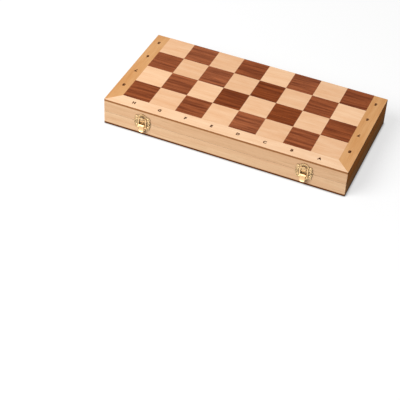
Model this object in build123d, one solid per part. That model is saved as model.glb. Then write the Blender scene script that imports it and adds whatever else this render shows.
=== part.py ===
from build123d import *
from math import cos, radians, sin, tan
import os

# A folding chess box: two shallow trays joined by hinges at the back edge.
# Closed, each tray shows half of the chess board on its outside, and two brass
# toggle latches hold the front edges together. Opened by half a turn the trays
# lie side by side, and turned over they make the whole board.
#
# Frame: +X to the right along the front, +Y to the back, +Z up, all in mm.
# The origin is the centre of the wooden case on the face that it rests on.

# ------------------------------------------------------------ driving sizes (mm)
# Board and case
SQUARE = 45.0             # side of one playing square
FILES = 8                 # squares along the front
RANKS = 4                 # squares from front to back on one half
BORDER = 22.5             # plain border, on every side but the fold
CASE_HEIGHT = 47.0        # both halves, closed
RIM_GAP = 0.3             # daylight between the two rims
RAIL = 9.0                # thickness of the side rails
PANEL = 2.4               # fibreboard panel under the veneer
VENEER = 0.6
CORNER = 1.2              # radius of the upright outer corners
RIM_ARRIS = 0.15          # softened outer edge of the rims
VENEER_ARRIS = 0.3        # and of the veneered faces
FELT = 0.8
FELT_CLEARANCE = 0.4      # between the felt and the rails

# Butt hinges
HINGE_INSET = 87.5        # from an end of the case to a hinge's centre
HINGE_LENGTH = 32.0
HINGE_KNUCKLES = 5
KNUCKLE_RADIUS = 2.0
KNUCKLE_PLAY = 0.2        # gap at each end of a knuckle
HINGE_PIN_RADIUS = 0.9
RUNNING_CLEARANCE = 0.05  # radial, wherever a piece turns on a pin
LEAF_WIDTH = 7.4          # from the pin's centre to the leaf's edge
LEAF = 1.1                # sheet thickness of a leaf
LEAF_GAP = 0.1            # between two closed leaves
LEAF_CORNER = 1.0
AXIS_OFFSET = 0.15        # pin's centre behind the back face
BARREL_CLEARANCE = 0.35   # round the knuckles, in the wood
MORTISE_CLEARANCE = 0.1   # round a leaf, in the wood

# Hinge screws
SCREW_SPACING = 20.0      # between the two screws of a leaf
SCREW_FROM_PIN = 4.7
SCREW_HEAD_RADIUS = 1.9
SCREW_HEAD = 1.0          # height of the countersunk head
SCREW_SINK = 0.1          # from the leaf's face down to the head's
SCREW_SHANK_RADIUS = 0.9
SCREW_LENGTH = 10.0
SCREW_POINT = 2.0
SCREW_TIP_RADIUS = 0.1
SCREW_SLOT = 0.5          # width of the slot, and its depth

# Toggle latches: heights are from the line where the halves meet
LATCH_INSET = 67.5        # from an end of the case to a latch's centre
SHEET = 0.8               # brass sheet of plates, ears, lever and tongue
PLATE_GAP = 0.45          # from the meeting line to each plate
PLATE_HALF_WIDTH = 12.4
PLATE_RIM = 0.8           # width of the raised rim
PLATE_RELIEF = 0.3        # height of the raised rim
BEAD_RADIUS = 1.7         # round lobes at the sides
BEAD_HEIGHT = 2.6
CATCH_SHOULDER = 8.8      # height of the catch plate's square part
CATCH_LOBE_RADIUS = 3.1
CROWN_RADIUS = 8.2
CROWN_TOP = 16.2
KEEPER_SHOULDER = 8.6     # the same on the plate below
KEEPER_TIP = 16.2
SCALLOPS = 4              # along each side of the point
SCALLOP_RADIUS = 2.3
PIERCING_RADIUS = 0.9
PIERCING_X = 2.0          # beside the loop
PIERCING_Y = 2.4          # from the plate's straight edge
NAIL_X = 9.7
CATCH_NAIL_HEIGHT = 9.2
KEEPER_NAIL_HEIGHT = 6.0
NAIL_HEAD_RADIUS = 1.4
NAIL_HEAD = 0.7
NAIL_SEAT_RADIUS = 2.2    # raised ring round a nail's head
NAIL_SEAT = 0.6           # width of the ring
NAIL_SHANK_RADIUS = 0.6
NAIL_LENGTH = 7.0         # from the wood's face to the point
NAIL_POINT = 1.0

LEVER_PIN_OUT = 3.8       # lever pin's centre, out from the wood
LEVER_PIN_DROP = 3.9      # and below the meeting line
LEVER_PIN_RADIUS = 0.75
LEVER_WIDTH = 8.2
LEVER_TO_EAR = 0.15
EAR_RADIUS = 1.8
EAR_TO_LOOP = 0.3
BILL_TIP_OUT = 6.7        # the lever's free end
BILL_TIP_DROP = 14.3
BILL_WAIST_OUT = 4.9      # where the bill is nearest to the wood
BILL_WAIST_DROP = 8.9
BILL_FLARE = 49.0         # degrees that its tip leans out
BILL_CORNER = 2.6
LOOP_PIN_OUT = 2.7        # loop's pin in the lever's flanges
LOOP_PIN_DROP = 7.7
LOOP_PIN_RADIUS = 0.6
LOOP_EYE = 0.6            # wall of the eyes round the loop's pin
LOOP_STRAP = 1.7          # width of the loop's sides
LOOP_BAR = 1.8            # and of its top bar
LOOP_CORNER = 3.2         # outer radius of its top corners
LOOP_BAR_OUT = 1.55       # middle of the top bar, out from the wood
LOOP_BAR_RISE = 7.2       # the bar's lower edge, above the meeting line
TONGUE_WIDTH = 6.8
TONGUE_SLOPE = 45.0       # degrees that the tongue's foot leans out
TONGUE_LEAN = 4.0         # degrees that its lip leans out
TONGUE_LIP = 4.3
TONGUE_BEND_RADIUS = 1.0
SEAT_CLEARANCE = 0.15     # from the loop's bar to the tongue
CUT_OUT_MARGIN = 1.2      # round the tongue, in the catch plate

# ------------------------------------------------------------ worked-out sizes
WIDTH = FILES * SQUARE + 2 * BORDER
DEPTH = RANKS * SQUARE + BORDER
HALF_HEIGHT = (CASE_HEIGHT - RIM_GAP) / 2
MEETING = CASE_HEIGHT / 2
FACE = VENEER + PANEL                     # from the playing face to the tray's floor
FRONT, BACK = -DEPTH / 2, DEPTH / 2
LEFT, RIGHT = -WIDTH / 2, WIDTH / 2
MEETING_PLANE = Plane.XY.offset(MEETING)
AXIS_Y = BACK + AXIS_OFFSET
UP = (Align.CENTER, Align.CENTER, Align.MIN)

# Drawing planes of a latch: seen from the front (x right, y up from the meeting
# line), and seen from its right-hand side (x out from the wood, y up).
LATCH_FACE = Plane((0, FRONT, MEETING), x_dir=(1, 0, 0), z_dir=(0, -1, 0))
LATCH_SIDE = Plane((0, FRONT, MEETING), x_dir=(0, -1, 0), z_dir=(-1, 0, 0))

LEVER_PIN = (LEVER_PIN_OUT, -LEVER_PIN_DROP)
LOOP_PIN = (LOOP_PIN_OUT, -LOOP_PIN_DROP)
EAR_INSIDE = LEVER_WIDTH / 2 + LEVER_TO_EAR
EAR_OUTSIDE = EAR_INSIDE + SHEET
LOOP_INSIDE = EAR_OUTSIDE + EAR_TO_LOOP
LOOP_OUTSIDE = LOOP_INSIDE + LOOP_STRAP


def group(solids):
    """Several separate solids that share one node."""
    return Compound(children=list(solids))


def lid_side(shape):
    """The lid's copy of something made for the box: its mirror image in the meeting plane."""
    return mirror(shape, about=MEETING_PLANE)


def both(sign_to_shape):
    """What a function makes for the left (-1) and for the right (+1)."""
    return [sign_to_shape(-1), sign_to_shape(1)]


# ------------------------------------------------------------ wooden case
def footprint():
    return RectangleRounded(WIDTH, DEPTH, CORNER)


def frame_side(side, width, mitred_at_back):
    """One side of a frame of this width round the case, mitred at its corners.

    A frame that is open at the fold has no back side, and its ends are square there.
    """
    inner_back = BACK - width if mitred_at_back else BACK
    inner_left, inner_right, inner_front = LEFT + width, RIGHT - width, FRONT + width
    corners = {
        "front": [(LEFT, FRONT), (RIGHT, FRONT), (inner_right, inner_front), (inner_left, inner_front)],
        "back": [(RIGHT, BACK), (LEFT, BACK), (inner_left, inner_back), (inner_right, inner_back)],
        "left": [(LEFT, BACK), (LEFT, FRONT), (inner_left, inner_front), (inner_left, inner_back)],
        "right": [(RIGHT, FRONT), (RIGHT, BACK), (inner_right, inner_back), (inner_right, inner_front)],
    }[side]
    return make_face(Polyline(*corners, close=True)) & footprint()


def rail(side):
    """A plain rail of the box, from the panel up to the rim, with its outer arris softened."""
    blank = Pos(0, 0, FACE) * extrude(frame_side(side, RAIL, True), HALF_HEIGHT - FACE)
    outward = {"front": -Axis.Y, "back": Axis.Y, "left": -Axis.X, "right": Axis.X}[side]
    rim = blank.faces().sort_by(Axis.Z)[-1]
    return chamfer(rim.edges().filter_by(GeomType.LINE).sort_by(outward)[-1], RIM_ARRIS)


def panel():
    return Pos(0, 0, VENEER) * extrude(footprint(), PANEL)


def border_strip(side):
    """A strip of the veneered border, mitred at the front corners and square at the fold."""
    blank = extrude(frame_side(side, BORDER, False), VENEER)
    outward = {"front": -Axis.Y, "left": -Axis.X, "right": Axis.X}[side]
    face = blank.faces().sort_by(Axis.Z)[0]
    return chamfer(face.edges().filter_by(GeomType.LINE).sort_by(outward)[-1], VENEER_ARRIS)


def squares(parity):
    """Every second playing square of a half, counted from the left end of the fold."""
    tile = Box(SQUARE, SQUARE, VENEER, align=UP)
    return group(
        Pos(LEFT + BORDER + (i + 0.5) * SQUARE, BACK - (j + 0.5) * SQUARE, 0) * tile
        for i in range(FILES)
        for j in range(RANKS)
        if (i + j) % 2 == parity
    )


def felt():
    size = [length - 2 * (RAIL + FELT_CLEARANCE) for length in (WIDTH, DEPTH)]
    return Pos(0, 0, FACE) * Box(*size, FELT, align=UP)


# ------------------------------------------------------------ hinges
KNUCKLE_PITCH = HINGE_LENGTH / HINGE_KNUCKLES


def knuckle_span(index, radius, play):
    """A cylinder round the pin's centre over one knuckle's length, less play at each end."""
    x = -HINGE_LENGTH / 2 + (index + 0.5) * KNUCKLE_PITCH
    return Pos(x, 0, 0) * Rot(0, 90, 0) * Cylinder(radius, KNUCKLE_PITCH - 2 * play)


def screw_places():
    """Where the two screws of a leaf have the middle of their heads' faces."""
    height = -LEAF_GAP / 2 - SCREW_SINK
    return [Pos(x, -SCREW_FROM_PIN, height) for x in (-SCREW_SPACING / 2, SCREW_SPACING / 2)]


def countersink(above=0.0):
    """The cone of a screw's head, carried on above the head's face by this much."""
    taper = (SCREW_HEAD_RADIUS - SCREW_SHANK_RADIUS) / SCREW_HEAD
    top_radius = SCREW_HEAD_RADIUS + taper * above
    return Pos(0, 0, -SCREW_HEAD) * Cone(SCREW_SHANK_RADIUS, top_radius, SCREW_HEAD + above, align=UP)


def shank_hole(depth):
    return Pos(0, 0, -depth) * Cylinder(SCREW_SHANK_RADIUS, depth, align=UP)


def leaf(first_knuckle, bore_clearance):
    """The box's leaf of a hinge about its pin: a sheet that carries every second knuckle."""
    outline = Pos(0, -LEAF_WIDTH / 2) * RectangleRounded(HINGE_LENGTH, LEAF_WIDTH, LEAF_CORNER)
    outline += Pos(0, -LEAF_WIDTH / 4) * Rectangle(HINGE_LENGTH, LEAF_WIDTH / 2)
    sheet = Pos(0, 0, -LEAF_GAP / 2 - LEAF) * extrude(outline, LEAF)
    own = range(first_knuckle, HINGE_KNUCKLES, 2)
    other = range(1 - first_knuckle, HINGE_KNUCKLES, 2)
    for index in other:
        sheet -= knuckle_span(index, KNUCKLE_RADIUS + KNUCKLE_PLAY, 0)
    for index in own:
        sheet += knuckle_span(index, KNUCKLE_RADIUS, KNUCKLE_PLAY / 2)
    sheet -= Rot(0, 90, 0) * Cylinder(HINGE_PIN_RADIUS + bore_clearance, 2 * HINGE_LENGTH)
    for place in screw_places():
        sheet -= place * (countersink(SCREW_SINK) + shank_hole(LEAF))
    return sheet


def hinge_pin():
    return Rot(0, 90, 0) * Cylinder(HINGE_PIN_RADIUS, HINGE_LENGTH)


def hinge_screw():
    """A slotted countersunk wood screw, pointing down from its head's face."""
    straight = SCREW_LENGTH - SCREW_POINT
    screw = countersink() + shank_hole(straight)
    screw += Pos(0, 0, -SCREW_LENGTH) * Cone(SCREW_TIP_RADIUS, SCREW_SHANK_RADIUS, SCREW_POINT, align=UP)
    slot = Box(2 * SCREW_HEAD_RADIUS, SCREW_SLOT, 2 * SCREW_SLOT)
    return screw - slot


def hinge_place(sign):
    return Pos(sign * (WIDTH / 2 - HINGE_INSET), AXIS_Y, MEETING)


def hinge_mortise():
    """Wood taken away from a box rail for one hinge: the leaf's bed, the barrel's groove, the pilot holes."""
    bed_length = HINGE_LENGTH + 2 * MORTISE_CLEARANCE
    bed_width = LEAF_WIDTH + MORTISE_CLEARANCE + AXIS_OFFSET
    bed = Pos(0, AXIS_OFFSET - bed_width / 2, -LEAF_GAP / 2 - LEAF)
    cut = bed * Box(bed_length, bed_width, MEETING, align=UP)
    groove_length = HINGE_LENGTH + 2 * BARREL_CLEARANCE
    cut += Rot(0, 90, 0) * Cylinder(KNUCKLE_RADIUS + BARREL_CLEARANCE, groove_length)
    for place in screw_places():
        cut += place * shank_hole(SCREW_LENGTH)
    return cut


# ------------------------------------------------------------ latches
def mirrored_discs(x, y, radius):
    return [Pos(sign * x, y) * Circle(radius) for sign in (-1, 1)]


def arched(width, bottom, top):
    """An upright shape with a round head, in the front view."""
    half = width / 2
    springing = top - half
    foot = Polyline((-half, springing), (-half, bottom), (half, bottom), (half, springing))
    return make_face(foot + ThreePointArc((half, springing), (0, top), (-half, springing)))


def catch_outline():
    """Outline of the lid's plate: a crown between two nail lobes, over a square foot."""
    foot = CATCH_SHOULDER - PLATE_GAP
    outline = Pos(0, PLATE_GAP + foot / 2) * Rectangle(2 * PLATE_HALF_WIDTH, foot)
    outline += arched(2 * CROWN_RADIUS, PLATE_GAP, CROWN_TOP)
    outline += mirrored_discs(NAIL_X, CATCH_NAIL_HEIGHT, CATCH_LOBE_RADIUS)
    return outline + mirrored_discs(PLATE_HALF_WIDTH, BEAD_HEIGHT, BEAD_RADIUS)


def keeper_outline():
    """Outline of the box's plate: a square shoulder over a scalloped point."""
    shoulder = KEEPER_SHOULDER - PLATE_GAP
    outline = Pos(0, -PLATE_GAP - shoulder / 2) * Rectangle(2 * PLATE_HALF_WIDTH, shoulder)
    tip_half = SCALLOP_RADIUS / 2
    slant = [
        (-PLATE_HALF_WIDTH, -KEEPER_SHOULDER),
        (-tip_half, SCALLOP_RADIUS - KEEPER_TIP),
        (tip_half, SCALLOP_RADIUS - KEEPER_TIP),
        (PLATE_HALF_WIDTH, -KEEPER_SHOULDER),
    ]
    outline += make_face(Polyline(*slant, close=True))
    run = PLATE_HALF_WIDTH - SCALLOP_RADIUS
    fall = KEEPER_TIP - KEEPER_SHOULDER - SCALLOP_RADIUS
    for step in range(SCALLOPS):
        share = step / (SCALLOPS - 1)
        outline += mirrored_discs(run * (1 - share), -KEEPER_SHOULDER - fall * share, SCALLOP_RADIUS)
    return outline + mirrored_discs(PLATE_HALF_WIDTH, -BEAD_HEIGHT, BEAD_RADIUS)


def piercings(nail_height, direction):
    """Openings of one plate: the nail holes and two rows of round piercings beside them."""
    holes = mirrored_discs(NAIL_X, direction * nail_height, NAIL_SHANK_RADIUS)
    holes += mirrored_discs(LOOP_OUTSIDE + PIERCING_X, direction * (PLATE_GAP + PIERCING_Y), PIERCING_RADIUS)
    holes += mirrored_discs(PLATE_HALF_WIDTH, direction * BEAD_HEIGHT, PIERCING_RADIUS / 2)
    return holes


def nail_seats(height):
    """Rings to be raised round the heads of a plate's two nails."""
    seats = Sketch() + mirrored_discs(NAIL_X, height, NAIL_SEAT_RADIUS)
    return seats - mirrored_discs(NAIL_X, height, NAIL_SEAT_RADIUS - NAIL_SEAT)


def sheet_plate(outline, relief, holes):
    """A pierced plate of stamped sheet, lying on the wood, with its rim and the relief raised."""
    raised = outline - offset(outline, -PLATE_RIM) + relief
    plate = extrude(LATCH_FACE * outline, SHEET) + extrude(LATCH_FACE * raised, SHEET + PLATE_RELIEF)
    for hole in holes:
        plate -= extrude(LATCH_FACE * hole, SHEET + PLATE_RELIEF)
    return plate


def side_strip(line, width):
    """Sheet bent along a line of the side view, as wide as given, centred on the latch."""
    return Pos(width / 2, 0, 0) * extrude(LATCH_SIDE * trace(line, SHEET), width)


def turned(centre, radius, angle):
    """A point of the side view, at this angle round a centre, from straight out and towards up."""
    return centre[0] + radius * cos(radians(angle)), centre[1] + radius * sin(radians(angle))


def tongue_knees():
    """The two bends of the hooked tongue's middle line, just clear of the loop's bar above them."""
    slope = radians(TONGUE_SLOPE)
    gap = SHEET / 2 + SEAT_CLEARANCE
    out = LOOP_BAR_OUT + SHEET / 2 + gap * cos(slope)
    rise = LOOP_BAR_RISE - gap * sin(slope)
    root_out, lip_out = SHEET / 2, LOOP_BAR_OUT + SHEET + SEAT_CLEARANCE
    return [(knee_out, rise + (knee_out - out) / tan(slope)) for knee_out in (root_out, lip_out)]


def tongue_line():
    """Middle line of the tongue: up out of the plate, sloping out under the bar, and up as a lip."""
    root, knee = tongue_knees()
    tip = turned(knee, TONGUE_LIP, 90 - TONGUE_LEAN)
    start = (root[0], root[1] - 2 * TONGUE_BEND_RADIUS)
    return FilletPolyline(start, root, knee, tip, radius=TONGUE_BEND_RADIUS)


def catch_plate():
    """The lid's plate, with the tongue cut out of it and bent into a hook."""
    line = tongue_line()
    reach = line.bounding_box().max
    root_rise = tongue_knees()[0][1]
    top = root_rise + line.length - 2 * TONGUE_BEND_RADIUS + CUT_OUT_MARGIN
    cut_out = arched(TONGUE_WIDTH + 2 * CUT_OUT_MARGIN, root_rise, top)
    relief = nail_seats(CATCH_NAIL_HEIGHT) + (offset(cut_out, PLATE_RIM) - cut_out)
    plate = sheet_plate(catch_outline(), relief, piercings(CATCH_NAIL_HEIGHT, 1) + [cut_out])
    head = extrude(LATCH_FACE * arched(TONGUE_WIDTH, 0, reach.Y + SHEET / 2), reach.X + SHEET)
    return plate + (side_strip(line, TONGUE_WIDTH) & head)


def ear(sign):
    """A lug that stands out of the box's plate and holds one end of the lever pin."""
    lug = Pos(LEVER_PIN_OUT / 2, -LEVER_PIN_DROP) * Rectangle(LEVER_PIN_OUT, 2 * EAR_RADIUS)
    lug += Pos(*LEVER_PIN) * Circle(EAR_RADIUS)
    lug -= Pos(*LEVER_PIN) * Circle(LEVER_PIN_RADIUS)
    centre = sign * (EAR_INSIDE + SHEET / 2)
    return Pos(centre, 0, 0) * extrude(LATCH_SIDE * lug, SHEET / 2, both=True)


def keeper_plate():
    """The box's plate, with the two ears that carry the lever."""
    holes = piercings(KEEPER_NAIL_HEIGHT, -1)
    plate = sheet_plate(keeper_outline(), nail_seats(-KEEPER_NAIL_HEIGHT), holes)
    for lug in both(ear):
        plate += lug
    return plate


def cross_pin(place, radius, half_length):
    """A pin through a latch from side to side."""
    return extrude(LATCH_SIDE * (Pos(*place) * Circle(radius)), half_length, both=True)


def lever_pin():
    return cross_pin(LEVER_PIN, LEVER_PIN_RADIUS, EAR_OUTSIDE + EAR_TO_LOOP / 3)


def loop_pin():
    return cross_pin(LOOP_PIN, LOOP_PIN_RADIUS, LOOP_OUTSIDE)


def lever_line():
    """Middle line of the lever's web: over the pin, down past the waist and out to the bill's tip."""
    over = LEVER_PIN_RADIUS + RUNNING_CLEARANCE + SHEET
    top, front = turned(LEVER_PIN, over, 120), turned(LEVER_PIN, over, 0)
    bill = Spline(
        front,
        (BILL_WAIST_OUT, -BILL_WAIST_DROP),
        (BILL_TIP_OUT, -BILL_TIP_DROP),
        tangents=[(0, -1), (sin(radians(BILL_FLARE)), -cos(radians(BILL_FLARE)))],
    )
    return ThreePointArc(top, turned(LEVER_PIN, over, 60), front) + bill


def flange(sign):
    """A side of the lever: a tapered cheek from the lever pin to the loop's pin, under the web."""
    corners = Sketch() + [
        Pos(*LEVER_PIN) * Circle(LEVER_PIN_RADIUS + RUNNING_CLEARANCE + SHEET),
        Pos(*LOOP_PIN) * Circle(LOOP_PIN_RADIUS + RUNNING_CLEARANCE + LOOP_EYE),
        Pos(BILL_WAIST_OUT, -BILL_WAIST_DROP) * Circle(SHEET / 2),
    ]
    centre = sign * (LEVER_WIDTH - SHEET) / 2
    return Pos(centre, 0, 0) * extrude(LATCH_SIDE * make_hull(corners.edges()), SHEET / 2, both=True)


def bill_blank():
    """The lever's width in the plane of the bill's tip, rounded at the corners of the free end."""
    flare = radians(BILL_FLARE)
    tip = (0, FRONT - BILL_TIP_OUT, MEETING - BILL_TIP_DROP)
    length = 2 * BILL_TIP_DROP
    blank = Pos(0, length / 2) * Rectangle(LEVER_WIDTH, length)
    blank = fillet(blank.vertices().group_by(Axis.Y)[0], BILL_CORNER)
    plane = Plane(tip, x_dir=(1, 0, 0), z_dir=(0, -cos(flare), sin(flare)))
    return extrude(plane * blank, BILL_TIP_DROP, both=True)


def lever():
    """The lever: a bent web with two flanges, its bill rounded at the free end."""
    body = side_strip(lever_line(), LEVER_WIDTH) & bill_blank()
    for side in both(flange):
        body += side
    for place, radius in ((LEVER_PIN, LEVER_PIN_RADIUS), (LOOP_PIN, LOOP_PIN_RADIUS)):
        body -= cross_pin(place, radius + RUNNING_CLEARANCE, LEVER_WIDTH)
    return body


def loop():
    """The stamped loop: two straps up from eyes on its pin, joined by the bar behind the tongue."""
    to_bar = Vector(0, LOOP_PIN_OUT - LOOP_BAR_OUT, LOOP_PIN_DROP + LOOP_BAR_RISE + LOOP_BAR / 2)
    foot = Vector(0, FRONT - LOOP_PIN_OUT, MEETING - LOOP_PIN_DROP)
    plane = Plane(foot, x_dir=(1, 0, 0), z_dir=Vector(1, 0, 0).cross(to_bar))
    top = to_bar.length + LOOP_BAR / 2
    inner_corner = LOOP_CORNER - LOOP_STRAP
    outline = strap_arch(LOOP_OUTSIDE, top, LOOP_CORNER) - strap_arch(LOOP_INSIDE, top - LOOP_BAR, inner_corner)
    frame = extrude(plane * outline, SHEET / 2, both=True)
    eye_radius = LOOP_PIN_RADIUS + LOOP_EYE
    frame += cross_pin(LOOP_PIN, eye_radius, LOOP_OUTSIDE) - cross_pin(LOOP_PIN, eye_radius, LOOP_INSIDE)
    return frame - cross_pin(LOOP_PIN, LOOP_PIN_RADIUS, LOOP_OUTSIDE)


def strap_arch(half_width, top, corner):
    """An upright rectangle on the pin's line, with its two top corners rounded."""
    arch = Pos(0, top / 2) * Rectangle(2 * half_width, top)
    return fillet(arch.vertices().group_by(Axis.Y)[-1], corner)


def nail(height):
    """The pair of domed nails of one plate, driven through it into the rail."""
    dome_radius = (NAIL_HEAD_RADIUS**2 + NAIL_HEAD**2) / (2 * NAIL_HEAD)
    top, rim = (0, SHEET + NAIL_HEAD), (NAIL_HEAD_RADIUS, SHEET)
    shank = [(NAIL_SHANK_RADIUS, NAIL_POINT - NAIL_LENGTH), (NAIL_SHANK_RADIUS, SHEET)]
    profile = make_face(Polyline(top, (0, -NAIL_LENGTH), *shank, rim) + RadiusArc(rim, top, -dome_radius))
    stand = Plane((0, FRONT, MEETING + height), x_dir=(1, 0, 0), z_dir=(0, -1, 0)).location
    one = stand * revolve(Plane.XZ * profile, Axis.Z)
    return [Pos(sign * NAIL_X, 0, 0) * one for sign in (-1, 1)]


def nail_holes(height):
    """Holes in a front rail for the two nails of one plate."""
    discs = mirrored_discs(NAIL_X, height, NAIL_SHANK_RADIUS)
    return [extrude(LATCH_FACE * disc, -NAIL_LENGTH) for disc in discs]


def latch_place(sign):
    return Pos(sign * (WIDTH / 2 - LATCH_INSET), 0, 0)


# ------------------------------------------------------------ the whole box
def half_nodes(owner, dark_parity, on_side):
    """The wooden pieces of one half, under its owner's name."""
    nodes = {f"{owner}_{side}_rail": on_side(rail(side)) for side in ("front", "back", "left", "right")}
    nodes |= {f"{owner}_{side}_border": on_side(border_strip(side)) for side in ("front", "left", "right")}
    nodes[f"{owner}_panel"] = on_side(panel())
    nodes[f"{owner}_mahogany_squares"] = on_side(squares(dark_parity))
    nodes[f"{owner}_maple_squares"] = on_side(squares(1 - dark_parity))
    nodes[f"{owner}_felt"] = on_side(felt())
    return nodes


def hinge_nodes(nodes):
    """Adds both hinges, and cuts the beds for them into the back rails."""
    for name, sign in (("left", -1), ("right", 1)):
        place = hinge_place(sign)
        nodes["box_back_rail"] -= place * hinge_mortise()
        nodes["lid_back_rail"] -= place * mirror(hinge_mortise(), about=Plane.XY)
        nodes[f"{name}_hinge_box_leaf"] = place * leaf(0, 0)
        nodes[f"{name}_hinge_lid_leaf"] = place * mirror(leaf(1, RUNNING_CLEARANCE), about=Plane.XY)
        nodes[f"{name}_hinge_pin"] = place * hinge_pin()
    screws = [hinge_place(sign) * spot * hinge_screw() for sign in (-1, 1) for spot in screw_places()]
    nodes["box_hinge_screws"] = group(screws)
    nodes["lid_hinge_screws"] = group(lid_side(screw) for screw in screws)


def latch_nodes(nodes):
    """Adds both latches, and the holes for their nails in the front rails."""
    nails = {"box": [], "lid": []}
    heights = {"box": -KEEPER_NAIL_HEIGHT, "lid": CATCH_NAIL_HEIGHT}
    for name, sign in (("left", -1), ("right", 1)):
        place = latch_place(sign)
        nodes[f"{name}_latch_keeper_plate"] = place * keeper_plate()
        nodes[f"{name}_latch_catch_plate"] = place * catch_plate()
        nodes[f"{name}_latch_lever"] = place * lever()
        nodes[f"{name}_latch_lever_pin"] = place * lever_pin()
        nodes[f"{name}_latch_loop"] = place * loop()
        nodes[f"{name}_latch_loop_pin"] = place * loop_pin()
        for owner, height in heights.items():
            nails[owner] += [place * one for one in nail(height)]
            for hole in nail_holes(height):
                nodes[f"{owner}_front_rail"] -= place * hole
    for owner, solids in nails.items():
        nodes[f"{owner}_latch_nails"] = group(solids)


def build():
    nodes = half_nodes("box", 0, lambda shape: shape) | half_nodes("lid", 1, lid_side)
    hinge_nodes(nodes)
    latch_nodes(nodes)
    return nodes


os.makedirs("parts", exist_ok=True)
for node_name, shape in build().items():
    export_step(shape, f"parts/{node_name}.step")
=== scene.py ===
import math

import bpy
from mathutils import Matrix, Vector


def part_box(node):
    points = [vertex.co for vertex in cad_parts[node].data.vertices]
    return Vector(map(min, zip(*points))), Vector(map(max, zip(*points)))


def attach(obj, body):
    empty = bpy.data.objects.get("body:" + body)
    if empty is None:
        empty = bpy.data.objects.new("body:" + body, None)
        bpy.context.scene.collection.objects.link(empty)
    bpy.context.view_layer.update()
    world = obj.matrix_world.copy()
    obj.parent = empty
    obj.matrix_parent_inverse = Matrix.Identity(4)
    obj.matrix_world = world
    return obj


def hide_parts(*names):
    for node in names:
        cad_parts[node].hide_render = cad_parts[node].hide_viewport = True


# A folding chess box, closed and latched: maple and mahogany veneer on two
# shallow trays of solid maple, with stamped brass latches and butt hinges.

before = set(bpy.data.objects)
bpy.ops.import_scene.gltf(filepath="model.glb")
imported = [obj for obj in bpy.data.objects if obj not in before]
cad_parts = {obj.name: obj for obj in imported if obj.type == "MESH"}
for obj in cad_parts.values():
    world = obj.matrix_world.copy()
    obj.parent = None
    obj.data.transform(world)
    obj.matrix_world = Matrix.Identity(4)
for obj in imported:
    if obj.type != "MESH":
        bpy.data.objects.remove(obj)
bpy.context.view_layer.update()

# ------------------------------------------------------------ sizes (metres)
MM = 0.001
SQUARE = 45 * MM
FILES = 8
RANKS = 4
BOARD_LEFT = -FILES / 2 * SQUARE
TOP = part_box("lid_maple_squares")[1].z
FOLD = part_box("lid_maple_squares")[1].y
MIDDLE = TOP / 2           # height of the case's middle, where the two rims meet


# ------------------------------------------------------------ material helpers
SHADE_SAMPLES = 8
OPEN_SHARE = 0.9           # a spot that is at least this open gets no painted shade


def linear(code):
    """An sRGB hex colour as linear red, green, blue and an alpha of 1."""
    values = [int(code[place:place + 2], 16) / 255 for place in (0, 2, 4)]
    return [v / 12.92 if v <= 0.04045 else ((v + 0.055) / 1.055) ** 2.4 for v in values] + [1.0]


def output(node, identifier):
    """A node's output socket by its identifier."""
    return next(socket for socket in node.outputs if socket.identifier == identifier)


def add(tree, kind, inputs=None, **settings):
    """Adds a node with its settings. Each input is a value or another node's output socket."""
    node = tree.nodes.new(kind)
    for name, value in settings.items():
        setattr(node, name, value)
    sockets = {socket.identifier: socket for socket in node.inputs}
    for identifier, value in (inputs or {}).items():
        if isinstance(value, bpy.types.NodeSocket):
            tree.links.new(value, sockets[identifier])
        else:
            sockets[identifier].default_value = value
    return node


def new_material(name):
    """A material with an empty node tree."""
    material = bpy.data.materials.new(name)
    material.use_nodes = True
    material.node_tree.nodes.clear()
    return material


def across_grain(axis, length, width):
    """Mapping scale for a pattern that is this long along the grain and this wide across it, in mm."""
    return [1 / ((length if direction == axis else width) * MM) for direction in "XYZ"]


def painted_shade(tree, distance, darkest, shut=0.3, only_local=False):
    """Painted shade: a factor of 1 in the open that falls to the darkest value where only the share shut is
    open.
    """
    shade = add(tree, "ShaderNodeAmbientOcclusion", {"Distance": distance},
                samples=SHADE_SAMPLES, only_local=only_local)
    return add(tree, "ShaderNodeMapRange",
               {"Value": shade.outputs["AO"], "From Min": shut, "From Max": OPEN_SHARE,
                "To Min": darkest, "To Max": 1.0}).outputs[0]


def seen_by(tree, *rays):
    """A factor of 1 for the kinds of ray that are named and 0 for all others."""
    path = add(tree, "ShaderNodeLightPath")
    seen = path.outputs[rays[0]]
    for ray in rays[1:]:
        seen = add(tree, "ShaderNodeMath", {"Value": seen, "Value_001": path.outputs[ray]},
                   operation="MAXIMUM").outputs[0]
    return seen


# ------------------------------------------------------------ wood
VENEER_JOINT = 0.22 * MM   # half the width of the joint between two squares
JOINT_SHADE = 0.55         # and how dark it is at its middle
DARK_CUT = {"saturation": 1.04, "hue": 0.497}      # the darkest cuts are also a little redder
PALE_CUT = {"saturation": 0.97, "hue": 0.501}

# Each kind of streak: its length and width in mm, its detail, and the noise where it starts and is full.
GROWTH_LINES = (70, 1.1, 2.0, 0.52, 0.72)
PORE_DASHES = (4.5, 0.28, 1.0, 0.62, 0.70)
FIGURE_BANDS = (3.0, 0.32, 0.68)                   # detail and noise only: each wood has its own size
GROWTH_LINE_STRENGTH = 0.5
PORE_DEPTH = 0.06 * MM

# The grain wanders by a millimetre or two over a hand's length.
WANDER_LENGTH = 80 * MM
WANDER_REACH = 6 * MM

# Painted shade in the wood's corners and seams, and round the parts that stand on it.
CORNER_SHADE = {"distance": 6 * MM, "darkest": 0.35, "shut": 0.5}
BAND_ROUGHNESS = (0.5, 0.42)                       # of the deep and of the pale bands


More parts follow.
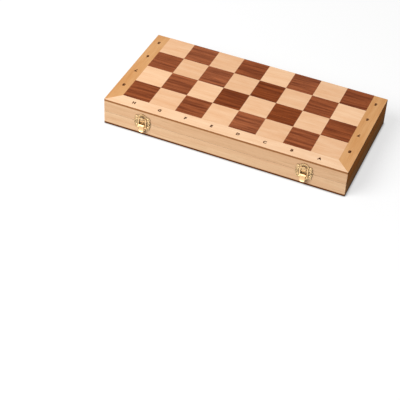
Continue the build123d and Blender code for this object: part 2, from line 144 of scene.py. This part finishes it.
def veneer_cuts(tree, place):
    """Every square is its own cut of veneer: a random shift, a random tone, and a joint round it."""
    axes = add(tree, "ShaderNodeSeparateXYZ", {"Vector": place})
    edges = []
    counts = []
    for letter, origin in (("X", BOARD_LEFT), ("Y", FOLD)):
        local = add(tree, "ShaderNodeMath", {"Value": axes.outputs[letter], "Value_001": origin},
                    operation="SUBTRACT").outputs[0]
        edges.append(add(tree, "ShaderNodeMath", {"Value": local, "Value_001": SQUARE / 2},
                         operation="PINGPONG").outputs[0])
        share = add(tree, "ShaderNodeMath", {"Value": local, "Value_001": SQUARE},
                    operation="DIVIDE").outputs[0]
        counts.append(add(tree, "ShaderNodeMath", {"Value": share}, operation="FLOOR").outputs[0])
    side = add(tree, "ShaderNodeMath", {"Value": axes.outputs["Z"], "Value_001": MIDDLE},
               operation="GREATER_THAN").outputs[0]
    cut = add(tree, "ShaderNodeCombineXYZ", {"X": counts[0], "Y": counts[1], "Z": side})
    chance = add(tree, "ShaderNodeTexWhiteNoise", {"Vector": cut.outputs[0]}, noise_dimensions="3D")
    edge = add(tree, "ShaderNodeMath", {"Value": edges[0], "Value_001": edges[1]}, operation="MINIMUM")
    joint = add(tree, "ShaderNodeMapRange",
                {"Value": edge.outputs[0], "From Max": VENEER_JOINT, "To Min": JOINT_SHADE, "To Max": 1.0})
    return chance.outputs["Color"], chance.outputs["Value"], joint.outputs[0]


def browner_by_height(tree, place, colour, edge_brown, start, full):
    """The colour, which turns to the edge brown between two distances from the case's middle height."""
    height = add(tree, "ShaderNodeSeparateXYZ", {"Vector": place}).outputs["Z"]
    signed = add(tree, "ShaderNodeMath", {"Value": height, "Value_001": MIDDLE}, operation="SUBTRACT")
    distance = add(tree, "ShaderNodeMath", {"Value": signed.outputs[0]}, operation="ABSOLUTE").outputs[0]
    share = add(tree, "ShaderNodeMapRange",
                {"Value": distance, "From Min": start, "From Max": full}).outputs[0]
    mixed = add(tree, "ShaderNodeMix", {"Factor_Float": share, "A_Color": colour, "B_Color": linear(edge_brown)},
                data_type="RGBA")
    return output(mixed, "Result_Color")


def wood(name, axis, pale, deep, line, pore, figure, pores=0.25, lacquer=0.15, tones=None, edge_brown=None):
    """Lacquered wood with its grain along one axis.

    Broad bands of the figure's length and width in mm run between the pale and the deep
    colour, fine growth lines tint them, and pores are short dashes. With tones, it is veneer
    laid in squares, each a little darker or paler than the next. Edge brown is a colour and the
    distances from the case's middle height where it starts and is full.
    """
    material = new_material(name)
    tree = material.node_tree
    on_piece = add(tree, "ShaderNodeTexCoord").outputs["Object"]
    place = on_piece
    # Painted shade darkens the colour in corners and seams.
    value = painted_shade(tree, **CORNER_SHADE)
    saturation = 1.0
    hue = 0.5
    if tones:
        shift, tone, joint = veneer_cuts(tree, on_piece)
        place = add(tree, "ShaderNodeVectorMath", {"Vector": on_piece, "Vector_001": shift},
                    operation="ADD").outputs[0]
        level = add(tree, "ShaderNodeMapRange",
                    {"Value": tone, "To Min": tones[0], "To Max": tones[1]}).outputs[0]
        saturation = add(tree, "ShaderNodeMapRange",
                         {"Value": tone, "To Min": DARK_CUT["saturation"],
                          "To Max": PALE_CUT["saturation"]}).outputs[0]
        hue = add(tree, "ShaderNodeMapRange",
                  {"Value": tone, "To Min": DARK_CUT["hue"], "To Max": PALE_CUT["hue"]}).outputs[0]
        for factor in (level, joint):
            value = add(tree, "ShaderNodeMath", {"Value": value, "Value_001": factor},
                        operation="MULTIPLY").outputs[0]

    drift = add(tree, "ShaderNodeTexNoise",
                {"Vector": place, "Scale": 1 / WANDER_LENGTH, "Detail": 1.0}).outputs["Color"]
    centred = add(tree, "ShaderNodeVectorMath", {"Vector": drift, "Vector_001": (0.5, 0.5, 0.5)},
                  operation="SUBTRACT").outputs[0]
    wander = add(tree, "ShaderNodeVectorMath", {"Vector": centred, "Scale": WANDER_REACH},
                 operation="SCALE").outputs[0]
    grain = add(tree, "ShaderNodeVectorMath", {"Vector": place, "Vector_001": wander},
                operation="ADD").outputs[0]

    def streaks(length, width, detail, start, full, strength):
        mapped = add(tree, "ShaderNodeMapping",
                     {"Vector": grain, "Scale": across_grain(axis, length, width)})
        noise = add(tree, "ShaderNodeTexNoise",
                    {"Vector": mapped.outputs[0], "Scale": 1.0, "Detail": detail, "Roughness": 0.6})
        return add(tree, "ShaderNodeMapRange",
                   {"Value": noise.outputs["Fac"], "From Min": start, "From Max": full,
                    "To Max": strength}).outputs[0]

    bands = streaks(*figure, *FIGURE_BANDS, 1.0)
    dashes = streaks(*PORE_DASHES, pores)
    lines = streaks(*GROWTH_LINES, GROWTH_LINE_STRENGTH)
    colour = linear(deep)
    for share, layer in ((bands, pale), (lines, line), (dashes, pore)):
        mixed = add(tree, "ShaderNodeMix",
                    {"Factor_Float": share, "A_Color": colour, "B_Color": linear(layer)}, data_type="RGBA")
        colour = output(mixed, "Result_Color")
    if edge_brown:
        colour = browner_by_height(tree, on_piece, colour, *edge_brown)
    colour = add(tree, "ShaderNodeHueSaturation",
                 {"Color": colour, "Hue": hue, "Saturation": saturation, "Value": value})
    relief = add(tree, "ShaderNodeMath", {"Value": dashes, "Value_001": -1.0}, operation="MULTIPLY")
    bump = add(tree, "ShaderNodeBump",
               {"Height": relief.outputs[0], "Distance": PORE_DEPTH, "Strength": 0.5})
    gloss = add(tree, "ShaderNodeMapRange",
                {"Value": bands, "To Min": BAND_ROUGHNESS[0], "To Max": BAND_ROUGHNESS[1]})
    surface = add(tree, "ShaderNodeBsdfPrincipled",
                  {"Base Color": colour.outputs[0], "Roughness": gloss.outputs[0], "Normal": bump.outputs[0],
                   "Specular IOR Level": lacquer})
    add(tree, "ShaderNodeOutputMaterial", {"Surface": surface.outputs[0]})
    return material


# The borders' cut edges and the rails' strips next to the panel are painted browner, which widens
# the dark line along the panel's edges. Both start and are full at a distance from the case's middle height.
CUT_EDGE = (MIDDLE - 0.02 * MM, MIDDLE - 0.15 * MM)
ALONG_PANEL = (MIDDLE - 4.2 * MM, MIDDLE - 3 * MM)

# Sliced maple: creamy, with broad soft bands, faint lines and hardly any pores.
maple_squares = wood("maple_veneer", "X", "F1C79F", "E9B88D", "DFA878", "C08D60", (60, 9),
                     tones=(0.93, 1.06))
maple_across = wood("maple_border_across", "X", "F6D0AB", "EEC29A", "E0AE80", "C08D60", (90, 9),
                    edge_brown=("9E683E", *CUT_EDGE))
maple_along = wood("maple_border_along", "Y", "DAA670", "CE945C", "B97F49", "966434", (70, 9),
                   edge_brown=("7A4A24", *CUT_EDGE))

# Sliced mahogany: red brown, with ribbon-like bands and plenty of dark open pores.
mahogany_squares = wood("mahogany_veneer", "X", "AA5D34", "6B3116", "54250E", "351607", (90, 5), pores=0.6,
                        lacquer=0.06, tones=(0.7, 1.08))

# Planed solid maple rails: pinkish tan with long darker growth lines at the front and back. The
# ends are browner with painted shade, as on an end turned from the light, and the lid's right end
# has redder painted shade still. The box's front is paler than the lid's.
rail_across = wood("rail_maple_across", "X", "E6BD94", "DDB087", "C3966B", "AA7C54", (160, 7),
                   edge_brown=("AA764A", *ALONG_PANEL))
rail_across_pale = wood("rail_maple_across_pale", "X", "EBC49B", "E3B68D", "C99C71", "AA7C54", (160, 7),
                        edge_brown=("AA764A", *ALONG_PANEL))
rail_along = wood("rail_maple_along", "Y", "D59A68", "C78A56", "AC6F40", "7C4722", (160, 7), lacquer=0.0)
rail_along_warm = wood("rail_maple_along_warm", "Y", "DC8F50", "CE7E3F", "B1632B", "7C441E", (160, 7),
                       lacquer=0.0)

# Pressed fibreboard: brown and matt, with fine flecks of fibre. The box's panel, seen as the line along the
# bottom edge, is darker: painted shade where the case meets the floor.
fibreboard = wood("fibreboard", "X", "B0784A", "96643C", "84532E", "4A2A12", (2, 0.8), pores=0.5,
                  lacquer=0.0)
fibreboard_dark = wood("fibreboard_dark", "X", "86481C", "633212", "4E270C", "341606", (2, 0.8), pores=0.5,
                       lacquer=0.0)


# ------------------------------------------------------------ brass, felt, ink
POLISH_WAVE = 0.8 * MM     # length of the polish's unevenness
POLISH_DEPTH = 0.03 * MM
POLISH_LOSS = 0.15         # what is added to the roughness in its hollows
PEBBLE = 1.3 * MM          # size of one stamped pebble
PEBBLE_REACH = (0.2, 0.75)  # how far its flat top and its foot reach, in pebble sizes
# Tarnish together with painted shade: within each piece, and on the stamped plates also under the latch's
# other parts.
PLAIN_TARNISH_AND_SHADE = {"distance": 1.2 * MM, "darkest": 0.0, "only_local": True}
PEBBLE_TARNISH_AND_SHADE = {"distance": 4 * MM, "darkest": 0.0}


def brass(name, bright, dull, roughness, pebble=0.0):
    """Brass with brown tarnish and painted shade in its corners, and an uneven polish.

    Pebble is the depth in mm of a stamped ground of small pebbles, with tarnish between them.
    """
    material = new_material(name)
    tree = material.node_tree
    place = add(tree, "ShaderNodeTexCoord").outputs["Object"]
    if pebble:
        untarnished_unshaded = painted_shade(tree, **PEBBLE_TARNISH_AND_SHADE)
        stones = add(tree, "ShaderNodeTexVoronoi", {"Vector": place, "Scale": 1 / PEBBLE}, feature="F1")
        height = add(tree, "ShaderNodeMapRange",
                     {"Value": stones.outputs["Distance"], "From Min": PEBBLE_REACH[0],
                      "From Max": PEBBLE_REACH[1], "To Min": 1.0, "To Max": 0.0}).outputs[0]
        depth = pebble * MM
        between = add(tree, "ShaderNodeMapRange",
                      {"Value": height, "From Max": 0.6, "To Min": 0.4}).outputs[0]
        untarnished_unshaded = add(tree, "ShaderNodeMath", {"Value": untarnished_unshaded, "Value_001": between},
                    operation="MULTIPLY").outputs[0]
    else:
        untarnished_unshaded = painted_shade(tree, **PLAIN_TARNISH_AND_SHADE)
        height = add(tree, "ShaderNodeTexNoise",
                     {"Vector": place, "Scale": 1 / POLISH_WAVE, "Detail": 2.0}).outputs["Fac"]
        depth = POLISH_DEPTH
    # Tarnish and painted shade turn the bright colour to the dull one.
    colour = add(tree, "ShaderNodeMix",
                 {"Factor_Float": untarnished_unshaded, "A_Color": linear(dull), "B_Color": linear(bright)},
                 data_type="RGBA")
    polish = add(tree, "ShaderNodeMapRange",
                 {"Value": height, "To Min": roughness + POLISH_LOSS, "To Max": roughness})
    bump = add(tree, "ShaderNodeBump", {"Height": height, "Distance": depth, "Strength": 0.8})
    surface = add(tree, "ShaderNodeBsdfPrincipled",
                  {"Base Color": output(colour, "Result_Color"), "Metallic": 1.0,
                   "Roughness": polish.outputs[0], "Normal": bump.outputs[0]})
    add(tree, "ShaderNodeOutputMaterial", {"Surface": surface.outputs[0]})
    return material


# Bright pale brass that has gone brown wherever it can't be rubbed, and darker still with painted shade
# where the latch's parts stand over its plates.
latch_polished = brass("latch_brass_polished", "EBC898", "3A1E04", 0.46)
latch_stamped = brass("latch_brass_stamped", "FBD7A2", "3E2004", 0.36, pebble=0.25)
# Satin drawn brass of the hinges, and the turned brass of their screws.
hinge_brass = brass("hinge_brass", "D9B56B", "5A3D1A", 0.3)
screw_brass = brass("screw_brass", "C4A05C", "3E280E", 0.34)

# Wool felt: matt and dark green, with tufts of fibre that stand out paler and a cloudy nap. The
# fibres are drawn a few times coarser than real ones so that they show.
FELT_TUFT = 0.6 * MM
FELT_PILE = 0.3 * MM
FELT_CLOUD = 25 * MM

felt_green = new_material("felt_green")
tree = felt_green.node_tree
place = add(tree, "ShaderNodeTexCoord").outputs["Object"]
tufts = add(tree, "ShaderNodeTexNoise",
            {"Vector": place, "Scale": 1 / FELT_TUFT, "Detail": 4.0, "Roughness": 0.7}).outputs["Fac"]
clouds = add(tree, "ShaderNodeTexNoise", {"Vector": place, "Scale": 1 / FELT_CLOUD, "Detail": 2.0})
nap = add(tree, "ShaderNodeMapRange", {"Value": clouds.outputs["Fac"], "To Min": 0.85, "To Max": 1.15})
both = add(tree, "ShaderNodeMath", {"Value": tufts, "Value_001": nap.outputs[0]}, operation="MULTIPLY")
paleness = add(tree, "ShaderNodeMapRange", {"Value": both.outputs[0], "From Min": 0.3, "From Max": 0.75})
colour = add(tree, "ShaderNodeMix",
             {"Factor_Float": paleness.outputs[0], "A_Color": linear("16351F"), "B_Color": linear("2C5F38")},
             data_type="RGBA")
bump = add(tree, "ShaderNodeBump", {"Height": tufts, "Distance": FELT_PILE, "Strength": 0.7})
surface = add(tree, "ShaderNodeBsdfPrincipled",
              {"Base Color": output(colour, "Result_Color"), "Roughness": 0.95, "Sheen Weight": 0.35,
               "Sheen Roughness": 0.5, "Normal": bump.outputs[0]})
add(tree, "ShaderNodeOutputMaterial", {"Surface": surface.outputs[0]})

# Printing ink: dark brown and nearly matt, a little mottled where the wood drank it.
INK_MOTTLE = 0.4 * MM

ink = new_material("burnt_brown_ink")
tree = ink.node_tree
place = add(tree, "ShaderNodeTexCoord").outputs["Object"]
mottle = add(tree, "ShaderNodeTexNoise", {"Vector": place, "Scale": 1 / INK_MOTTLE, "Detail": 2.0})
colour = add(tree, "ShaderNodeMix",
             {"Factor_Float": mottle.outputs["Fac"], "A_Color": linear("361603"),
              "B_Color": linear("5F3006")}, data_type="RGBA")
surface = add(tree, "ShaderNodeBsdfPrincipled",
              {"Base Color": output(colour, "Result_Color"), "Roughness": 0.6, "Specular IOR Level": 0.1})
add(tree, "ShaderNodeOutputMaterial", {"Surface": surface.outputs[0]})

# A node takes the finish of the longest of these endings that its name has.
FINISHES = {
    "front_rail": rail_across,
    "box_front_rail": rail_across_pale,
    "back_rail": rail_across,
    "left_rail": rail_along,
    "right_rail": rail_along,
    "lid_right_rail": rail_along_warm,
    "front_border": maple_across,
    "left_border": maple_along,
    "right_border": maple_along,
    "mahogany_squares": mahogany_squares,
    "maple_squares": maple_squares,
    "panel": fibreboard,
    "box_panel": fibreboard_dark,
    "felt": felt_green,
    "leaf": hinge_brass,
    "hinge_pin": hinge_brass,
    "hinge_screws": screw_brass,
    "latch_nails": latch_polished,
    "plate": latch_stamped,
    "lever": latch_polished,
    "lever_pin": latch_polished,
    "loop": latch_polished,
    "loop_pin": latch_polished,
}
for node_name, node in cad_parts.items():
    finish = max((ending for ending in FINISHES if node_name.endswith(ending)), key=len)
    node.data.materials.clear()
    node.data.materials.append(FINISHES[finish])


# ------------------------------------------------------------ felt in the trays
FELT_CUTS = 60             # fine enough for the waves
FELT_WAVE = 0.12 * MM      # height of a wave
FELT_WAVE_LENGTH = 40 * MM

felt_waves = bpy.data.textures.new("felt_waves", "CLOUDS")
felt_waves.noise_scale = FELT_WAVE_LENGTH


def lay_felt(owner, up):
    """The felt of one tray, a cut sheet that lies on the panel with a slightly uneven face.

    Up is 1 where that face looks up at rest, and -1 where it looks down.
    """
    low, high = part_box(f"{owner}_felt")
    size = high - low
    bpy.ops.object.select_all(action="DESELECT")
    bpy.ops.mesh.primitive_cube_add(size=1, location=(low + high) / 2, scale=size)
    felt = bpy.context.object
    felt.name = f"{owner}_felt_sheet"
    bpy.ops.object.transform_apply(location=True, rotation=True, scale=True)
    bpy.ops.object.mode_set(mode="EDIT")
    bpy.ops.mesh.select_mode(type="FACE")
    bpy.ops.mesh.select_all(action="DESELECT")
    bpy.ops.object.mode_set(mode="OBJECT")
    for face in felt.data.polygons:
        face.select = face.normal.z * up > 0.5
    bpy.ops.object.mode_set(mode="EDIT")
    bpy.ops.mesh.subdivide(number_cuts=FELT_CUTS)
    bpy.ops.object.vertex_group_assign_new()
    bpy.ops.object.mode_set(mode="OBJECT")
    waves = felt.modifiers.new("waves", "DISPLACE")
    waves.texture = felt_waves
    waves.texture_coords = "LOCAL"
    waves.direction = "Z"
    waves.vertex_group = felt.vertex_groups[0].name
    waves.mid_level = 1.0
    waves.strength = up * FELT_WAVE
    bpy.ops.object.modifier_apply(modifier=waves.name)
    felt.data.materials.append(felt_green)
    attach(felt, owner)
    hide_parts(f"{owner}_felt")


lay_felt("box", 1)
lay_felt("lid", -1)

# ------------------------------------------------------------ letters and numbers
MARK_DEPTH = 0.03 * MM
CAPITAL = 0.729            # a capital's height in the font's own units
LETTER_STYLE = (6.5 * MM, 0.07)        # height, and what is added round each stroke in font units
NUMBER_STYLE = (7.1 * MM, 0.078)
MARK_PITCH = 44.1 * MM     # the printing is a little closer than the squares
MARK_SHIFT = -1.3 * MM     # and a little to the left
LETTER_LINE = FOLD - 4.228 * SQUARE    # Y of the letters
NUMBER_LINE = 4.224 * SQUARE           # X of the numbers, either side of the middle
NUMBER_MIDDLE = FOLD - 1.959 * SQUARE  # Y that the numbers are centred on


def mark(text, style, owner, x, y, turn):
    """One bold printed character on a border, centred at x, y. Turn is its rotation."""
    height, boldness = style
    bpy.ops.object.select_all(action="DESELECT")
    bpy.ops.object.text_add()
    piece = bpy.context.object
    piece.data.body = text
    piece.data.bevel_depth = boldness
    piece.data.bevel_resolution = 1
    bpy.ops.object.convert(target="MESH")
    bpy.ops.object.origin_set(type="ORIGIN_GEOMETRY", center="BOUNDS")
    factor = height / (CAPITAL + 2 * boldness)
    piece.scale = (factor, factor, 2 * MARK_DEPTH / piece.dimensions.z)
    piece.rotation_euler = turn
    piece.location = (x, y, TOP if owner == "lid" else 0.0)
    bpy.ops.object.transform_apply(location=True, rotation=True, scale=True)
    return piece


def border_marks(owner, letters, numbers, letter_turn, number_turn):
    """All printed characters of one half: letters along the front, numbers along both ends."""
    pieces = []
    for index, letter in enumerate(letters):
        x = MARK_SHIFT + (index + 0.5 - FILES / 2) * MARK_PITCH
        pieces.append(mark(letter, LETTER_STYLE, owner, x, LETTER_LINE, letter_turn))
    for index, number in enumerate(numbers):
        for side in (-1, 1):
            y = NUMBER_MIDDLE - (index + 0.5 - RANKS / 2) * MARK_PITCH
            x = MARK_SHIFT + side * NUMBER_LINE
            pieces.append(mark(number, NUMBER_STYLE, owner, x, y, number_turn))
    bpy.ops.object.select_all(action="DESELECT")
    for piece in pieces:
        piece.select_set(True)
    bpy.context.view_layer.objects.active = pieces[0]
    bpy.ops.object.join()
    marks = bpy.context.object
    marks.name = f"{owner}_coordinates"
    marks.data.materials.clear()
    marks.data.materials.append(ink)
    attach(marks, owner)


# The lid's letters read from the front and its numbers from the back. The box's read from below.
border_marks("lid", "HGFEDCBA", "5678", (0, 0, 0), (0, 0, math.pi))
border_marks("box", "HGFEDCBA", "4321", (0, math.pi, 0), (0, math.pi, 0))

# ------------------------------------------------------------ studio
LENS = 107.1
SENSOR = 36
CAMERA_PLACE = (0.49636, -1.44041, 1.17531)
CAMERA_TURN = (48.4451, -2.3774, 23.5929)          # degrees
AMBIENT = 0.2              # the world's strength on the object, where 1 is white
BACKDROP = 1.0             # and as it is seen, directly or in a reflection
FLOOR_SIZE = 12
FLOOR_DROP = 0.2 * MM      # keeps the floor clear of the printing underneath
FLOOR_GLOW = 0.7           # share of the seen floor that shines by itself
FLOOR_BOUNCE = 0.25        # grey of the floor as it lights the object
CONTACT_SHADOW = {"distance": 5 * MM, "darkest": 0.1}

bpy.context.scene.view_settings.view_transform = "Standard"
camera_data = bpy.data.cameras.new("camera")
camera_data.lens = LENS
camera_data.sensor_width = SENSOR
camera = bpy.data.objects.new("camera", camera_data)
camera.location = CAMERA_PLACE
camera.rotation_euler = [math.radians(angle) for angle in CAMERA_TURN]
bpy.context.collection.objects.link(camera)
bpy.context.scene.camera = camera


def softbox(name, location, width, watts, shines=True):
    """A round soft lamp of this width that looks at the box. With shines off it leaves no highlights."""
    data = bpy.data.lights.new(name, "AREA")
    data.shape = "DISK"
    data.size = width
    data.energy = watts
    lamp = bpy.data.objects.new(name, data)
    lamp.location = location
    lamp.rotation_euler = (-Vector(location)).to_track_quat("-Z", "Y").to_euler()
    lamp.visible_glossy = shines
    bpy.context.collection.objects.link(lamp)


# A wide main light from the left, and a small low one that lifts the shaded back.
softbox("key", (-1.4, -1.75, 2.03), 2.4, 131)
softbox("low_fill_behind", (-0.5, 2.6, 0.25), 0.5, 20, shines=False)

world = bpy.data.worlds.new("studio")
bpy.context.scene.world = world
world.use_nodes = True
tree = world.node_tree
tree.nodes.clear()
seen = seen_by(tree, "Is Camera Ray", "Is Glossy Ray", "Is Transmission Ray")
strength = add(tree, "ShaderNodeMapRange", {"Value": seen, "To Min": AMBIENT, "To Max": BACKDROP})
background = add(tree, "ShaderNodeBackground", {"Color": (1, 1, 1, 1), "Strength": strength.outputs[0]})
add(tree, "ShaderNodeOutputWorld", {"Surface": background.outputs[0]})

bpy.ops.object.select_all(action="DESELECT")
bpy.ops.mesh.primitive_plane_add(size=FLOOR_SIZE, location=(0, 0, -FLOOR_DROP))
floor = bpy.context.object
floor.name = "studio_floor"
floor_white = new_material("floor_white")
tree = floor_white.node_tree
seen = seen_by(tree, "Is Camera Ray", "Is Glossy Ray")
lit = add(tree, "ShaderNodeBsdfDiffuse", {"Color": (1, 1, 1, 1)})
glow = add(tree, "ShaderNodeEmission",
           {"Color": (1, 1, 1, 1), "Strength": painted_shade(tree, **CONTACT_SHADOW)})
shown = add(tree, "ShaderNodeMixShader",
            {"Fac": FLOOR_GLOW, "Shader": lit.outputs[0], "Shader_001": glow.outputs[0]})
bounce = add(tree, "ShaderNodeBsdfDiffuse", {"Color": (FLOOR_BOUNCE, FLOOR_BOUNCE, FLOOR_BOUNCE, 1)})
surface = add(tree, "ShaderNodeMixShader",
              {"Fac": seen, "Shader": bounce.outputs[0], "Shader_001": shown.outputs[0]})
add(tree, "ShaderNodeOutputMaterial", {"Surface": surface.outputs[0]})
floor.data.materials.append(floor_white)
